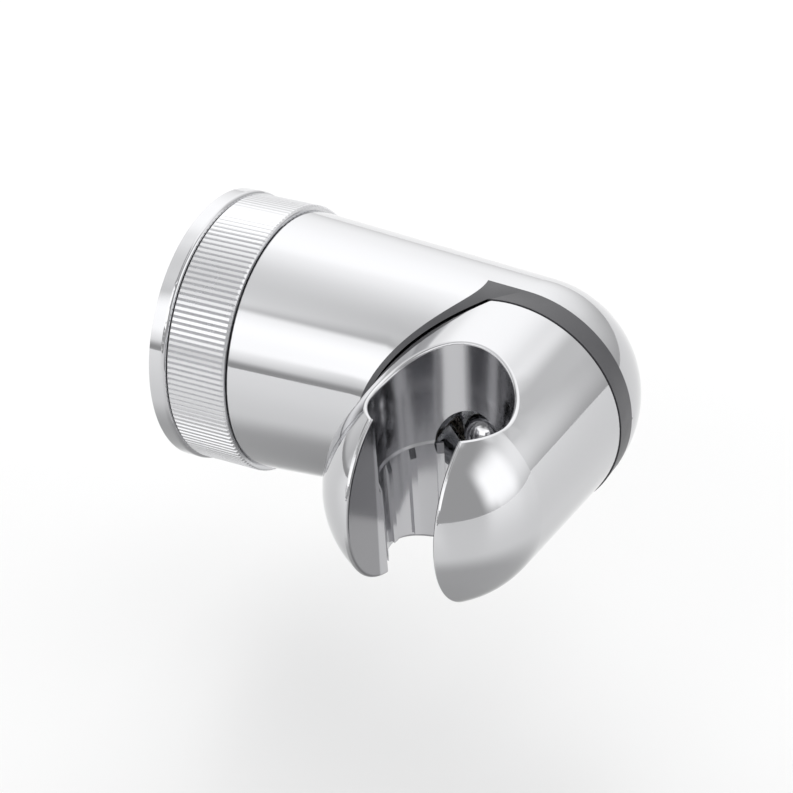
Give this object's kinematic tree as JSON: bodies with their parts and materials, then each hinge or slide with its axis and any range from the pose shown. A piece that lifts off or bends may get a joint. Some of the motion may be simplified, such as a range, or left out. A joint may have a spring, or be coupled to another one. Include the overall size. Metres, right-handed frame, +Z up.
{
  "type": "hand shower holder",
  "caption": "Wall-fixed hand shower holder: round flange, knurled locking ring, tapered arm with ball end, dark joint ring and a tilting cup with tapered bore and hose slot.",
  "frame": {"origin": "centre of the wall plate's back face, on the wall", "axes": "+Y into the wall, so the arm stands out along -Y; +Z up along the cup's bore; the cup points along -X from the arm's end"},
  "size_m": [0.0807, 0.0886, 0.055],
  "materials": {
    "bright_chrome": "mirror-bright plating over moulded plastic",
    "joint_plastic": "satin dark grey",
    "plate_plastic": "moulded grey",
    "slip_plastic": "natural white",
    "seal_rubber": "matt black",
    "screw_steel": "bright stainless",
    "bush_brass": "turned"
  },
  "bodies": {
    "wall_side": {"wall_plate": "plate_plastic", "wall_gasket": "seal_rubber", "wall_flange": "bright_chrome", "friction_washer": "seal_rubber"},
    "ring_thrust": {"slip_ring": "slip_plastic"},
    "locking_ring": {"knurled_ring": "bright_chrome"},
    "arm": {"arm_base": "plate_plastic", "arm_base_screws": "screw_steel", "arm_shell": "bright_chrome", "joint_ring": "joint_plastic", "joint_oring": "seal_rubber", "pivot_nut": "screw_steel", "pivot_screw": "screw_steel", "screw_cap": "bright_chrome", "flat_washer": "screw_steel", "spring_washer": "screw_steel"},
    "cup": {"handset_cup": "bright_chrome", "cup_friction_disc": "slip_plastic", "pivot_bush": "bush_brass"}
  },
  "joints": [
    {"name": "arm_roll", "type": "hinge", "parent": "wall_side", "child": "arm", "pos_m": [0, 0, 0], "axis": [0, -1, 0], "continuous": true},
    {"name": "ring_travel", "type": "slide", "parent": "wall_side", "child": "ring_thrust", "axis": [0, -1, 0], "range_m": [0, 0.0001]},
    {"name": "ring_turn", "type": "hinge", "parent": "ring_thrust", "child": "locking_ring", "pos_m": [0, 0, 0], "axis": [0, -1, 0], "range_deg": [0, 24]},
    {"name": "cup_tilt", "type": "hinge", "parent": "arm", "child": "cup", "pos_m": [0, -0.066, 0], "axis": [-1, 0, 0], "continuous": true}
  ],
  "couplings": [
    {"joint": "ring_travel", "follows": "ring_turn", "m_per_rad": 0.00023873}
  ]
}
